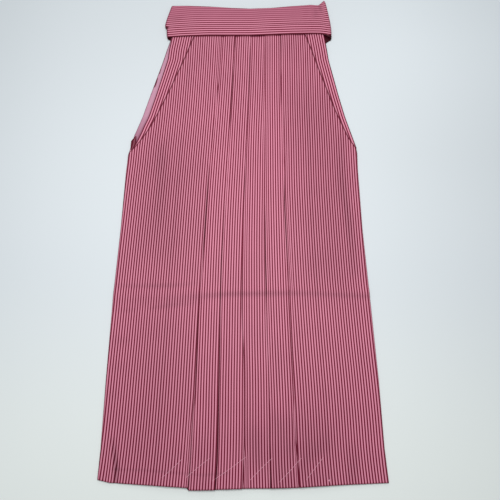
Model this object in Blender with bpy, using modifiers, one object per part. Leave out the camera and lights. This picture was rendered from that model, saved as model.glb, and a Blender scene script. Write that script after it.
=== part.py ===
"""A striped, skirt-type hakama laid flat on a surface, front up, waist towards +Y.

The front is one cloth in five knife pleats. It lies on a plain back, with a folded strip beside each
side opening, a facing along the back edge of the left one, and two belts at the waist. The front belt
runs over the front, turns round both sides and lies under the waist behind.
Every piece of cloth is a wall: a sheet of points at the middle of the cloth, given its thickness.
Widths, heights and layers are worked out in millimetres, with X from the middle of the hem and Y up
from the hem. The meshes are made in metres.
"""
import math

import bmesh
import bpy
import numpy as np

MM = 0.001

# Cloth and layers
WALL = 1.0
GAP = 0.3
LAYER = WALL + GAP
BELT_WALL = 1.4
WAIST_LIFT = BELT_WALL + GAP

# Heights up the garment
OPENING_FOOT = 638.0
PANEL_TOP = 918.0
BACK_TOP = 930.0
BACK_BELT_TOP = 983.0
LIFT_START = 836.0
LIFT_END = 878.0
SIDE_RAMP_START = 590.0
CREASE_HEIGHT = 330.0
CREASE_HALF_WIDTH = 16.0
CREASE_RISE = 1.0

# Pleats
PLEAT_DEPTH_HEM = 22.0
PLEAT_DEPTH_TOP = 14.0
PLEAT_MARGIN = 2.0
FOLD_ANGLES = (90.0, 30.0, -30.0, -90.0)
RAMP_STEPS = 4
TOP_LEVEL = 3
LOW_LEVEL = 1
MIDDLE_BAND = 3

# Tucks under an edge, and edges kept inside the one above
STRIP_TUCK = 12.0
FACING_TUCK = 8.0
FACING_INSET = 1.2
BACK_INSET = 0.8
HIDDEN_HEM = 2.0
HEM_FADE = 60.0

# Heights where sections of the cloth are taken
PANEL_STATIONS = (0, 40, 110, 180, 250, 314, 322, 330, 338, 346, 420, 500, 560, 590, 614, 638,
                  665, 700, 760, 836, 850, 864, 878, 900, 918)
STRIP_STATIONS = (638, 665, 700, 760, 836, 850, 864, 878, 900, 918)
FACING_STATIONS = (660, 700, 760, 836, 850, 864, 878, 900, 918)

# Pleat edges: height, then x of the five edges from left to right
PLEAT_TABLE = (
    (0, -91.5, -47.8, -1.0, 46.8, 94.3),
    (55, -89.0, -45.0, -1.0, 47.2, 94.5),
    (120, -89.0, -44.5, -1.5, 48.0, 94.2),
    (190, -87.2, -44.2, -2.0, 47.3, 93.2),
    (300, -83.8, -43.8, -3.0, 43.5, 87.5),
    (390, -78.5, -43.0, -2.8, 41.8, 84.0),
    (500, -74.5, -38.8, -0.8, 41.8, 82.8),
    (600, -71.0, -34.5, 2.5, 42.2, 82.2),
    (700, -63.0, -29.6, 6.6, 43.2, 81.8),
    (800, -55.0, -25.8, 9.8, 44.4, 81.2),
    (918, -52.0, -20.5, 12.6, 45.6, 80.8),
)

# Side edges of the front: height, left x, right x. Above the openings they slant inwards.
FRONT_EDGE_TABLE = (
    (0, -244.5, 244.0),
    (60, -243.0, 240.0),
    (170, -243.8, 238.7),
    (330, -243.8, 234.0),
    (455, -240.8, 230.6),
    (580, -238.4, 230.4),
    (628, -233.0, 231.4),
    (686, -201.6, 212.5),
    (746, -174.4, 193.5),
    (822, -146.9, 169.0),
    (918, -113.0, 137.5),
)

# Outer edges of the folded strips, and of the back above the openings
STRIP_EDGE_TABLE = (
    (628, -233.4, 231.6),
    (705, -203.0, 211.0),
    (760, -190.0, 199.5),
    (849, -170.0, 183.0),
    (918, -161.0, 176.0),
)
BACK_EDGE_TABLE = (
    (628, -236.6, 231.4),
    (660, -228.5, 222.0),
    (705, -213.6, 210.6),
    (760, -201.0, 199.0),
    (849, -178.4, 182.4),
    (900, -165.5, 177.0),
    (930, -162.0, 174.0),
)

# The hem is a little uneven: x and height of each band of the front at the hem
HEM_BANDS = (
    ((-244.5, 11.0), (-223.0, 6.4), (-155.0, 2.6), (-93.3, -1.0)),
    ((-91.5, -5.0), (-48.0, -4.4)),
    ((-48.0, -4.0), (-1.0, -2.4)),
    ((-1.0, -2.2), (46.8, -2.0)),
    ((46.8, -1.8), (94.4, -0.8)),
    ((94.4, -0.5), (163.0, 4.1), (244.4, 8.7)),
)

# The back across its width: share of the width, and the band of the front over it
BACK_POINTS = ((0.0, 0), (0.25, 0), (0.5, MIDDLE_BAND), (0.75, 5), (1.0, 5))

# Front belt. Along it: x, height of its lower edge, height of its upper edge.
BELT_LINE = (
    (-172, 904.0, 992.0),
    (-140, 906.0, 992.0),
    (-80, 908.0, 989.5),
    (-30, 908.0, 985.5),
    (12, 908.0, 983.6),
    (60, 910.0, 985.5),
    (110, 912.5, 991.0),
    (150, 914.0, 995.0),
    (168, 914.0, 995.5),
    (178, 911.0, 1001.5),
    (186, 906.0, 1004.0),
)
# The height of its inner face over the waist
BELT_REST = ((-172, 5.7), (-124, 6.9), (104, 6.9), (140, 5.9), (186, 5.2))
# Across it: share of its width, drop towards its upper edge, x of its left and right turns
BELT_ROWS = (
    (0.0, 0.0, -172.0, 191.0),
    (0.13, 0.0, -172.0, 192.0),
    (0.27, 0.3, -173.0, 192.4),
    (0.34, 1.3, -177.6, 192.0),
    (0.42, 0.9, -178.2, 191.4),
    (0.62, 1.3, -175.0, 189.2),
    (0.82, 2.1, -170.6, 186.4),
    (0.94, 2.8, -168.0, 184.4),
    (1.0, 3.6, -167.0, 183.2),
)
BELT_LOWEST_REST = 3.5
BELT_TURN_WIDTH = 3.0
BELT_TURN_ANGLES = (-60.0, -25.0, 10.0, 40.0, 70.0)
BELT_FRONT_STEPS = 18
# Behind the waist, where a turn ends: height of the lower and upper edge on the left and right
BELT_FOOT_LEFT = (901.0, 990.0)
BELT_FOOT_RIGHT = (899.0, 1000.0)
BELT_FOOT_INSET = 4.0
# Behind the waist, further in: x, height of the lower edge, height of the upper edge
BELT_BEHIND_LEFT = ((-158.0, 892.0, 986.0), (-142.0, 886.0, 981.0), (-32.0, 884.0, 976.0))
BELT_BEHIND_RIGHT = ((175.0, 888.0, 990.0), (161.0, 885.0, 982.0), (32.0, 884.0, 976.0))

BACK_BELT_LEFT = -156.0
BACK_BELT_RIGHT = 168.0

# Rolled end of cloth at the foot of the left opening:
# height, x, half width, half thickness, twist in degrees
ROLL_TABLE = (
    (633.0, -233.6, 1.6, 0.5, 0.0),
    (638.0, -234.0, 2.6, 0.8, 8.0),
    (645.0, -232.6, 3.0, 0.95, -10.0),
    (652.0, -230.0, 2.6, 0.9, 12.0),
    (658.0, -228.2, 1.6, 0.5, 0.0),
)
ROLL_SIDES = 8
ROLL_MIDDLE = LAYER + 1.1

STRIPED_PINK = (0.48, 0.13, 0.20, 1.0)
BELT_PINK = (0.43, 0.11, 0.18, 1.0)
LILAC = (0.60, 0.32, 0.43, 1.0)
CLOTH_ROUGHNESS = 0.75


def smooth_step(value):
    """Ease from 0 to 1, flat at both ends."""
    share = min(1.0, max(0.0, value))
    return share * share * (3.0 - 2.0 * share)


def from_table(table, height, column):
    """Read a column of a table at a height, straight between its rows."""
    return float(np.interp(height, [row[0] for row in table], [row[column] for row in table]))


def waist_lift(height):
    """The waist lies on the belt behind it, so the cloth rises there."""
    return WAIST_LIFT * smooth_step((height - LIFT_START) / (LIFT_END - LIFT_START))


def storage_crease(height):
    """A soft ridge straight across the front, left by folding it away."""
    distance = abs(height - CREASE_HEIGHT) / CREASE_HALF_WIDTH
    return CREASE_RISE * (1.0 - smooth_step(distance))


def side_level(height, upper_level):
    """The layer that a side edge of the front lies in, which rises over the strip beside the opening."""
    rise = smooth_step((height - SIDE_RAMP_START) / (OPENING_FOOT - SIDE_RAMP_START))
    return LOW_LEVEL + (upper_level - LOW_LEVEL) * rise


def layer_height(level, height):
    """Height of the middle of the cloth in a layer, over the surface that the garment lies on."""
    return level * LAYER + WALL / 2 + waist_lift(height)


def hem_height(band, x, hidden):
    """The hem of a band of the front at x, kept a little shorter where another band hides it."""
    points = HEM_BANDS[band]
    height = float(np.interp(x, [point[0] for point in points], [point[1] for point in points]))
    return height + HIDDEN_HEM if hidden else height


def add_run(section, band, x, level, hidden=False):
    """Add one point to a section of the front: x, layer, and its hem."""
    section.append((x, level, hem_height(band, x, hidden)))


def add_ramp(section, band, start, end, level_start, level_end):
    """Let the cloth pass smoothly from one layer to another."""
    for step in range(RAMP_STEPS + 1):
        share = step / RAMP_STEPS
        level = level_start + (level_end - level_start) * smooth_step(share)
        add_run(section, band, start + (end - start) * share, level)


def add_fold(section, band, edge, facing, upper_level):
    """Turn the cloth back on itself at an edge, from one layer down to the next."""
    center_x = edge - facing * (WALL + LAYER) / 2
    for angle in FOLD_ANGLES:
        turn = math.radians(angle)
        x = center_x + facing * LAYER / 2 * math.cos(turn)
        add_run(section, band, x, upper_level - 0.5 + math.sin(turn) / 2, hidden=True)


def half_section(side, outer, outer_level, edges, bands, depth):
    """The front from one side edge inwards: over each pleat's edge, back under it, and on below it."""
    inward = -side
    section = []
    add_run(section, bands[0], outer, outer_level)
    start, level = outer + inward * (STRIP_TUCK + PLEAT_MARGIN), outer_level
    for band, edge in zip(bands, edges):
        add_ramp(section, band, start, edge - inward * (depth + PLEAT_MARGIN), level, TOP_LEVEL)
        add_fold(section, band, edge, inward, TOP_LEVEL)
        add_fold(section, band, edge - inward * depth, -inward, TOP_LEVEL - 1)
        add_run(section, band, edge - inward * PLEAT_MARGIN, LOW_LEVEL, hidden=True)
        start, level = edge + inward * PLEAT_MARGIN, LOW_LEVEL
    add_run(section, MIDDLE_BAND, start, LOW_LEVEL)
    return section


def front_section(height):
    """The front across one height, from its left edge to its right edge, through all five pleats."""
    outer_left = from_table(FRONT_EDGE_TABLE, height, 1)
    outer_right = from_table(FRONT_EDGE_TABLE, height, 2)
    edges = [from_table(PLEAT_TABLE, height, column) for column in range(1, 6)]
    depth = PLEAT_DEPTH_HEM + (PLEAT_DEPTH_TOP - PLEAT_DEPTH_HEM) * height / PANEL_TOP
    left_level = side_level(height, TOP_LEVEL)
    right_level = side_level(height, TOP_LEVEL - 1)
    left = half_section(-1, outer_left, left_level, edges[:3], (0, 1, 2), depth)
    right = half_section(1, outer_right, right_level, (edges[4], edges[3]), (5, 4), depth)
    return left + list(reversed(right))


def front_rows():
    """Points at the middle of the front's cloth, a row for each height."""
    rows = []
    for height in PANEL_STATIONS:
        fade = max(0.0, 1.0 - height / HEM_FADE)
        rise = storage_crease(height)
        rows.append([(x, height + hem * fade, layer_height(level, height) + rise)
                     for x, level, hem in front_section(height)])
    return rows


def back_rows():
    """The plain back: as wide as the front up to the openings, then out to its own edges."""
    rows = []
    for height in PANEL_STATIONS + (BACK_TOP,):
        table = BACK_EDGE_TABLE if height > BACK_EDGE_TABLE[0][0] else FRONT_EDGE_TABLE
        left = from_table(table, height, 1) + BACK_INSET
        right = from_table(table, height, 2) - BACK_INSET
        fade = max(0.0, 1.0 - height / HEM_FADE)
        row = []
        for share, band in BACK_POINTS:
            x = left + (right - left) * share
            hem = (hem_height(band, x, True) + HIDDEN_HEM) * fade
            row.append((x, height + hem, layer_height(0, height)))
        rows.append(row)
    return rows


def strip_rows(side, level):
    """A folded strip beside an opening, from its outer edge to under the front's slanting edge."""
    column = 1 if side < 0 else 2
    rows = []
    for height in STRIP_STATIONS:
        outer = from_table(STRIP_EDGE_TABLE, height, column)
        inner = from_table(FRONT_EDGE_TABLE, height, column) - side * STRIP_TUCK
        xs = (outer, (outer + inner) / 2, inner)
        rows.append([(x, height, layer_height(level, height)) for x in xs])
    return rows


def facing_rows():
    """The facing on the left edge of the back, which runs in under the folded strip."""
    rows = []
    for height in FACING_STATIONS:
        outer = from_table(BACK_EDGE_TABLE, height, 1) + BACK_INSET + FACING_INSET
        inner = from_table(STRIP_EDGE_TABLE, height, 1) + FACING_TUCK
        rows.append([(x, height, layer_height(1, height)) for x in (outer, inner)])
    return rows


def belt_front_point(x, row):
    """A point of the belt's front run: its place across the width, and its height over the waist."""
    share, drop = row[0], row[1]
    lower = from_table(BELT_LINE, x, 1)
    upper = from_table(BELT_LINE, x, 2)
    rest = max(BELT_LOWEST_REST, from_table(BELT_REST, x, 1) - drop)
    return x, lower + (upper - lower) * share, rest + BELT_WALL / 2


def belt_behind_points(side, turn_x, row, foot, table):
    """The belt behind the waist, from its turn inwards, flat on the surface below."""
    share = row[0]
    points = []
    for x, lower, upper in ((turn_x - side * BELT_FOOT_INSET, *foot), *table):
        points.append((x, lower + (upper - lower) * share, BELT_WALL / 2))
    return points


def belt_turn_points(side, turn_x, front, behind):
    """The half turn that joins the belt behind to its front run."""
    center_x = turn_x - side * (BELT_WALL / 2 + BELT_TURN_WIDTH)
    points = []
    for angle in BELT_TURN_ANGLES:
        turn = math.radians(angle)
        share = (1.0 + math.sin(turn)) / 2
        x = center_x + side * BELT_TURN_WIDTH * math.cos(turn)
        y = behind[1] + (front[1] - behind[1]) * share
        z = behind[2] + (front[2] - behind[2]) * share
        points.append((x, y, z))
    return points


def belt_rows():
    """The front belt as rows along its length: behind on the left, over the front, behind on the right."""
    rows = []
    for row in BELT_ROWS:
        left_turn, right_turn = row[2], row[3]
        turn_room = BELT_WALL / 2 + BELT_TURN_WIDTH
        start, end = left_turn + turn_room, right_turn - turn_room
        xs = np.linspace(start, end, BELT_FRONT_STEPS + 1)
        front = [belt_front_point(float(x), row) for x in xs]
        behind_left = belt_behind_points(-1, left_turn, row, BELT_FOOT_LEFT, BELT_BEHIND_LEFT)
        behind_right = belt_behind_points(1, right_turn, row, BELT_FOOT_RIGHT, BELT_BEHIND_RIGHT)
        turn_left = belt_turn_points(-1, left_turn, front[0], behind_left[0])
        turn_right = belt_turn_points(1, right_turn, front[-1], behind_right[0])
        line = list(reversed(behind_left)) + turn_left + front
        line += list(reversed(turn_right)) + behind_right
        rows.append(line)
    return rows


def back_belt_rows():
    """The back belt, edge to edge with the top of the back."""
    middle = WAIST_LIFT + BELT_WALL / 2
    rows = []
    for y in (BACK_TOP + GAP, (BACK_TOP + BACK_BELT_TOP) / 2, BACK_BELT_TOP):
        xs = np.linspace(BACK_BELT_LEFT, BACK_BELT_RIGHT, 5)
        rows.append([(float(x), y, middle) for x in xs])
    return rows


def make_material(name, color):
    """Plain cloth in one colour."""
    material = bpy.data.materials.new(name)
    material.use_nodes = True
    shader = material.node_tree.nodes["Principled BSDF"]
    shader.inputs["Base Color"].default_value = color
    shader.inputs["Roughness"].default_value = CLOTH_ROUGHNESS
    shader.inputs["Metallic"].default_value = 0.0
    return material


def make_object(name, bm, material, collection):
    """Store a bmesh as a named object with its material."""
    mesh = bpy.data.meshes.new(name)
    bm.to_mesh(mesh)
    bm.free()
    mesh.materials.append(material)
    obj = bpy.data.objects.new(name, mesh)
    collection.objects.link(obj)
    return obj


def make_sheet(name, rows, wall, color, collection):
    """A cloth wall: faces between the rows of points, given the cloth's thickness by Solidify."""
    bm = bmesh.new()
    grid = [[bm.verts.new([value * MM for value in point]) for point in row] for row in rows]
    for low, high in zip(grid, grid[1:]):
        for a, b, c, d in zip(low, low[1:], high[1:], high):
            bm.faces.new((a, b, c, d))
    obj = make_object(name, bm, make_material(name, color), collection)
    solidify = obj.modifiers.new("Cloth thickness", "SOLIDIFY")
    solidify.thickness = wall * MM
    solidify.offset = 0.0
    solidify.use_even_offset = True
    solidify.use_quality_normals = True
    return obj


def make_roll(name, color, collection):
    """The rolled end of cloth: flat ovals of changing size and twist, joined and capped."""
    bm = bmesh.new()
    rings = []
    for y, x, half_width, half_thick, twist in ROLL_TABLE:
        ring = []
        for side in range(ROLL_SIDES):
            turn = 2 * math.pi * side / ROLL_SIDES
            along, up = half_width * math.cos(turn), half_thick * math.sin(turn)
            tilt = math.radians(twist)
            px = x + along * math.cos(tilt) - up * math.sin(tilt)
            pz = ROLL_MIDDLE + along * math.sin(tilt) + up * math.cos(tilt)
            ring.append(bm.verts.new((px * MM, y * MM, pz * MM)))
        rings.append(ring)
    for low, high in zip(rings, rings[1:]):
        for side in range(ROLL_SIDES):
            follow = (side + 1) % ROLL_SIDES
            bm.faces.new((low[side], high[side], high[follow], low[follow]))
    bm.faces.new(rings[0])
    bm.faces.new(list(reversed(rings[-1])))
    bmesh.ops.recalc_face_normals(bm, faces=bm.faces)
    return make_object(name, bm, make_material(name, color), collection)


def stand_on_origin(objects):
    """Move the garment so that the middle of its underside is the origin."""
    bpy.context.view_layer.update()
    depsgraph = bpy.context.evaluated_depsgraph_get()
    corners = []
    for obj in objects:
        corners += [tuple(corner) for corner in obj.evaluated_get(depsgraph).bound_box]
    low, high = np.min(corners, axis=0), np.max(corners, axis=0)
    shift = (-(low[0] + high[0]) / 2, -(low[1] + high[1]) / 2, -low[2])
    for obj in objects:
        obj.location = shift


def main():
    for obj in list(bpy.data.objects):
        bpy.data.objects.remove(obj, do_unlink=True)
    collection = bpy.data.collections.new("striped_hakama")
    bpy.context.scene.collection.children.link(collection)
    objects = [
        make_sheet("back_panel", back_rows(), WALL, STRIPED_PINK, collection),
        make_sheet("front_panel", front_rows(), WALL, STRIPED_PINK, collection),
        make_sheet("side_strip_left", strip_rows(-1, 2), WALL, STRIPED_PINK, collection),
        make_sheet("side_strip_right", strip_rows(1, 1), WALL, STRIPED_PINK, collection),
        make_sheet("opening_facing_left", facing_rows(), WALL, LILAC, collection),
        make_roll("opening_end_left", STRIPED_PINK, collection),
        make_sheet("back_belt", back_belt_rows(), BELT_WALL, BELT_PINK, collection),
        make_sheet("front_belt", belt_rows(), BELT_WALL, BELT_PINK, collection),
    ]
    stand_on_origin(objects)


main()
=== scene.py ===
# %% [markdown]
# # A striped, pleated hakama laid flat
# A hakama is a long, wide garment tied over a kimono. This one is the skirt kind. It lies on its back with
# its five front pleats pressed, slanting openings at both sides and a wide belt at the top.
# A packed model of plain, stiff walls already fixes where everything lies. This script loads it, and then
# puts soft, thin cloth with its stripes, folds and sewing in the same places.

# %% Load the fixed model
import math

import bpy
import numpy as np
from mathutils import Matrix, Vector


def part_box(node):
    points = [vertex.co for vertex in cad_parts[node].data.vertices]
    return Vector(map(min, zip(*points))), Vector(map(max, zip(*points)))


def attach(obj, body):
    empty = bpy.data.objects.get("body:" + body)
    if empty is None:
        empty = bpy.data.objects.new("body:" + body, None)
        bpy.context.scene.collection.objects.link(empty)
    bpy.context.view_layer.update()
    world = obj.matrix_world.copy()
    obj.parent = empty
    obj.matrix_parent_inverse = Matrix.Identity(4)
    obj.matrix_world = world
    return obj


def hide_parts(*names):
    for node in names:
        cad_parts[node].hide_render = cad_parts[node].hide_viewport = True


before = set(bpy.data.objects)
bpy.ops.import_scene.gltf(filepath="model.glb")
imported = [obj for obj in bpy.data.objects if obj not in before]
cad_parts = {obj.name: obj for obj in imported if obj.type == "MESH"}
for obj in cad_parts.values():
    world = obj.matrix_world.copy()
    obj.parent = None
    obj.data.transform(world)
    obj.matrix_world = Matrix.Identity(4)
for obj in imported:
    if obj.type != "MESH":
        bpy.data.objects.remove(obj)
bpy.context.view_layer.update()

# %% [markdown]
# ## Where things are
# A maker measures a garment from its hem, so every size below is in millimetres, with x from the middle of
# the hem and y up from it. One function turns such a point into metres in the fixed model's own frame.

# %% From the maker's millimetres to the frame
MM = 0.001
PANEL_TOP = 918.0
LEFT_AT_HEM = -244.5
panel_low, panel_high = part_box("front_panel")
ORIGIN = np.array((panel_low.x - LEFT_AT_HEM * MM, panel_high.y - PANEL_TOP * MM, 0.0))


def placed(points):
    """Millimetres from the middle of the hem, as metres in the frame."""
    return np.asarray(points, float) * MM + ORIGIN


print("middle of the hem", ORIGIN)

# %% [markdown]
# ## Camera
# The picture was taken standing at the hem and leaning over: the camera is above the lower part of the
# garment and tips up towards the belt, so the belt looks narrower and the stripes run together there.
# The camera comes first, because everything after it is judged through it.

# %% Camera
CAMERA_PLACE = (11.9, 161.8, 853.6)
CAMERA_TILT = 16.46
CAMERA_LENS = 33.2

bpy.ops.object.select_all(action="DESELECT")
bpy.ops.object.camera_add(location=placed(CAMERA_PLACE), rotation=(math.radians(CAMERA_TILT), 0.0, 0.0))
camera = bpy.context.object
camera.name = "camera"
camera.data.lens = CAMERA_LENS
bpy.context.scene.camera = camera
print("camera at", camera.location)

# %% [markdown]
# ## Light
# A soft lamp hangs above the middle of the garment, so the middle is the brightest. A window beyond the belt
# gives the belt its dark line on the waist and the ridge its shade. A pale room fills in everywhere else.

# %% Light
AIM = (0.0, 480.0, 0.0)
LIGHTS = (
    ("lamp", (0, 500, 900), 500, 6.75, (1, 0.985, 0.97)),
    ("window_light", (-60, 1600, 700), 400, 2.55, (1, 0.99, 0.98)),
)
SKY_COLOR = (0.93, 0.97, 1.0, 1.0)
SKY_STRENGTH = 0.555

for name, place, size, power, color in LIGHTS:
    bpy.ops.object.light_add(type="AREA", location=placed(place))
    light = bpy.context.object
    light.name = name
    light.data.size = size * MM
    light.data.energy = power
    light.data.color = color
    direction = Vector(placed(AIM)) - light.location
    light.rotation_euler = direction.to_track_quat("-Z", "Y").to_euler()
    print(name, "aims", [round(part, 2) for part in direction])

world = bpy.data.worlds.new("pale_room")
bpy.context.scene.world = world
world.use_nodes = True
sky = world.node_tree.nodes["Background"]
sky.inputs["Color"].default_value = SKY_COLOR
sky.inputs["Strength"].default_value = SKY_STRENGTH
bpy.context.scene.view_settings.view_transform = "Standard"

# %% [markdown]
# ## Shader maths
# The stripes, threads and wear are all worked out from numbers, so they need many small maths nodes. One
# small class holds a socket, and adding or multiplying two of them adds the node that does it. Another
# holds the material, with one method that adds any other node.

# %% A socket that can be used in sums
class Link:
    """An output of a node, in a finish, that takes part in ordinary sums."""

    def __init__(self, finish, socket):
        self.finish = finish
        self.socket = socket

    def math(self, operation, *others):
        values = dict(enumerate((self,) + others))
        return self.finish.node("ShaderNodeMath", {"operation": operation}, values)

    def __add__(self, other):
        return self.math("ADD", other)

    def __sub__(self, other):
        return self.math("SUBTRACT", other)

    def __mul__(self, other):
        return self.math("MULTIPLY", other)

    def __truediv__(self, other):
        return self.math("DIVIDE", other)

    def __rsub__(self, other):
        return self.finish.node("ShaderNodeMath", {"operation": "SUBTRACT"}, {0: other, 1: self})

    __radd__ = __add__
    __rmul__ = __mul__


print("a link is:", Link.__doc__)

# %% A finish: a material and the nodes in it
CLOTH_SHEEN = (1.0, 0.55, 0.66, 1.0)
SHEEN_SPREAD = 0.4
CLOTH_GLOSS = 0.12


class Finish:
    """A new material, and one way to add any node to it."""

    def __init__(self, name, roughness, sheen):
        self.material = bpy.data.materials.new(name)
        self.material.use_nodes = True
        self.tree = self.material.node_tree
        self.surface = self.tree.nodes["Principled BSDF"]
        self.surface.inputs["Roughness"].default_value = roughness
        self.surface.inputs["Sheen Weight"].default_value = sheen
        self.surface.inputs["Sheen Roughness"].default_value = SHEEN_SPREAD
        self.surface.inputs["Sheen Tint"].default_value = CLOTH_SHEEN
        self.surface.inputs["Specular IOR Level"].default_value = CLOTH_GLOSS

    def node(self, kind, settings, values, output=0):
        """Add a node, set it, fill or link its inputs, and give one of its outputs."""
        made = self.tree.nodes.new(kind)
        for name, value in settings.items():
            setattr(made, name, value)
        for name, value in values.items():
            if isinstance(value, Link):
                self.tree.links.new(value.socket, made.inputs[name])
            else:
                made.inputs[name].default_value = value
        return Link(self, made.outputs[output])

    def mix(self, share, first, second):
        """Blend two colours."""
        values = {"Factor": share, 6: first, 7: second}
        return self.node("ShaderNodeMix", {"data_type": "RGBA"}, values, output=2)

    def ramp(self, value, low, high):
        """0 below low and 1 above high, smooth between them."""
        values = {"Value": value, "From Min": low, "From Max": high}
        return self.node("ShaderNodeMapRange", {"interpolation_type": "SMOOTHSTEP"}, values)

    def noise(self, vector, scale, detail=2.0):
        """Soft noise around 0.5."""
        values = {"Vector": vector, "Scale": scale, "Detail": detail}
        return self.node("ShaderNodeTexNoise", {}, values)

    def attribute(self, name):
        """A number kept on the points of the mesh."""
        return self.node("ShaderNodeAttribute", {"attribute_name": name}, {}, output=2)

    def cloth_map(self):
        """The cloth's own map, and its two directions: across the warp and along it."""
        whole = self.node("ShaderNodeUVMap", {"uv_map": "cloth"}, {})
        return whole, *self.split(whole)

    def split(self, vector):
        """The first two parts of a vector."""
        first = self.node("ShaderNodeSeparateXYZ", {}, {"Vector": vector})
        return first, Link(self, first.socket.node.outputs[1])
    def shade(self, color, tone):
        """A colour made lighter or darker."""
        return self.node("ShaderNodeVectorMath", {"operation": "SCALE"}, {0: color, "Scale": tone})

    def wear(self, socket, value):
        """Link a value to a socket of the shader."""
        self.tree.links.new(value.socket, self.surface.inputs[socket])

    def raise_by(self, height, strength, distance):
        """Use a height as fine relief."""
        values = {"Height": height, "Strength": strength, "Distance": distance}
        self.wear("Normal", self.node("ShaderNodeBump", {}, values))


print("shader classes ready")

# %% [markdown]
# ## The striped cloth
# The cloth is woven in two shades of rose, a light and a dark stripe every 4.9 mm, with fine yarns in both.
# The pattern reads the piece's own map, in metres, so the stripes go round every fold with the cloth, as
# woven ones do. Three numbers on the points of a piece change it. Two of them are painted shade: the first
# makes the cloth dark and deep red, for the shadows along folds, edges and loops, and the second makes it a
# little darker, for soft shade. In rubbed cloth the two shades run together.

# %% Striped cloth
STRIPE_PITCH = 0.00491
STRIPE_EDGE = (0.21, 0.29)
YARN = 0.00041
WEFT_SHARE = 0.8
WEAVE_RELIEF = 0.00012
LIGHT_ROSE = (0.612, 0.224, 0.312, 1.0)
DARK_ROSE = (0.133, 0.003, 0.022, 1.0)
RUBBED_ROSE = (0.355, 0.098, 0.155, 1.0)
PAINTED_SHADE_ROSE = (0.136, 0.003, 0.019, 1.0)
PAINTED_SHADE_DARKENING, HOLLOW_SHADE = 0.45, 0.4
WAVER, WAVER_SCALE = 0.12, 9.0
TONE, YARN_TONE, CLOUD_TONE, CLOUD_SCALE = 0.9, 0.08, 0.12, 22.0


def woven_yarns(across, along):
    """Plain weave: yarns over and under each other."""
    turn = 2.0 * math.pi / YARN
    return (across * turn).math("SINE") * (along * (turn * WEFT_SHARE)).math("SINE")


def striped_finish(name, roughness):
    """Warp stripes with soft edges, uneven yarns, a slow change of shade and a woven relief."""
    finish = Finish(name, roughness, 0.11)
    cloth_map, across, along = finish.cloth_map()
    place = across / STRIPE_PITCH + (finish.noise(cloth_map, WAVER_SCALE) - 0.5) * WAVER
    share = finish.ramp((place.math("FRACT") - 0.5).math("ABSOLUTE"), *STRIPE_EDGE)
    yarn_number = (across / YARN).math("FLOOR")
    yarn_shade = finish.node("ShaderNodeTexWhiteNoise", {"noise_dimensions": "1D"}, {"W": yarn_number})
    tone = TONE + yarn_shade * YARN_TONE + finish.noise(cloth_map, CLOUD_SCALE) * CLOUD_TONE
    # Painted shade: the first number darkens the stripes and turns them deep red, the second darkens them a
    # little more.
    pressed = finish.attribute("pressed")
    tone = tone * (1.0 - pressed * PAINTED_SHADE_DARKENING)
    tone = tone * (1.0 - finish.attribute("painted_soft_shade") * HOLLOW_SHADE)
    stripes = finish.mix(share, LIGHT_ROSE, DARK_ROSE)
    stripes = finish.mix(finish.attribute("rubbed"), stripes, RUBBED_ROSE)
    stripes = finish.mix(pressed, stripes, PAINTED_SHADE_ROSE)
    finish.wear("Base Color", finish.shade(stripes, tone))
    finish.raise_by(woven_yarns(across, along), 0.25, WEAVE_RELIEF)
    return finish.material


STRIPED = striped_finish("striped_rose_cloth", 0.5)
BELT_CLOTH = striped_finish("striped_belt_cloth", 0.6)
print("striped cloth repeats every", STRIPE_PITCH * 1000, "mm")

# %% [markdown]
# ## Plain lilac cloth and white thread
# The opening is faced with a plain, matt lilac cloth. The pleats were held by long white basting stitches,
# and some of them are still in the hem.

# %% Plain finishes
LILAC = (0.435, 0.215, 0.30, 1.0)
PALE_LILAC = (0.52, 0.28, 0.365, 1.0)
SHADED_LILAC = (0.20, 0.055, 0.10, 1.0)
THREAD_WHITE = (0.84, 0.46, 0.56, 1.0)
THREAD_SHADE = (0.74, 0.36, 0.47, 1.0)
TWIST_SCALE, TWIST_RELIEF = 900.0, 0.0001


def plain_finish():
    """Plain weave with a little change of shade."""
    finish = Finish("plain_lilac_cloth", 0.8, 0.2)
    cloth_map, across, along = finish.cloth_map()
    lilac = finish.mix(finish.noise(cloth_map, 60.0, 4.0), LILAC, PALE_LILAC)
    # Painted shade: where the points carry it, the lilac darkens towards SHADED_LILAC.
    finish.wear("Base Color", finish.mix(finish.attribute("pressed"), lilac, SHADED_LILAC))
    finish.raise_by(woven_yarns(across, along), 0.3, WEAVE_RELIEF)
    return finish.material


def thread_finish():
    """Two-ply thread: a fine twist along it."""
    finish = Finish("white_basting_thread", 0.7, 0.3)
    place = finish.node("ShaderNodeTexCoord", {}, {}, output=3)
    values = {"Vector": place, "Scale": TWIST_SCALE}
    wave = finish.node("ShaderNodeTexWave", {"bands_direction": "DIAGONAL"}, values)
    finish.wear("Base Color", finish.mix(wave, THREAD_WHITE, THREAD_SHADE))
    finish.raise_by(wave, 0.3, TWIST_RELIEF)
    return finish.material


PLAIN = plain_finish()
THREAD = thread_finish()
print("finishes", STRIPED.name, BELT_CLOTH.name, PLAIN.name, THREAD.name)

# %% [markdown]
# ## Layers
# Laid flat, a pleated garment is a pile of layers. The back lies on the table. The front lies on it, and
# climbs two layers at each pleat, where the cloth is folded back under itself. At the waist all of it rises
# over the belt behind. The fixed model has stiff walls 1 mm thick. This cloth is less than half as thick and
# keeps to the top of them.

# %% Layers of cloth
WALL = 1.0
LAYER = 1.3
CLOTH = 0.42
LIFT_START, LIFT_END, WAIST_LIFT = 836.0, 878.0, 1.7
OPENING_FOOT, RISE_START = 638.0, 590.0
TOP_LEVEL, LOW_LEVEL = 3, 1


def ease(share):
    """From 0 to 1, flat at both ends."""
    share = np.clip(share, 0.0, 1.0)
    return share * share * (3.0 - 2.0 * share)


def fading(distance, width):
    """From 1 to 0 over a width, flat at both ends."""
    return 1.0 - ease(distance / width)


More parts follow.
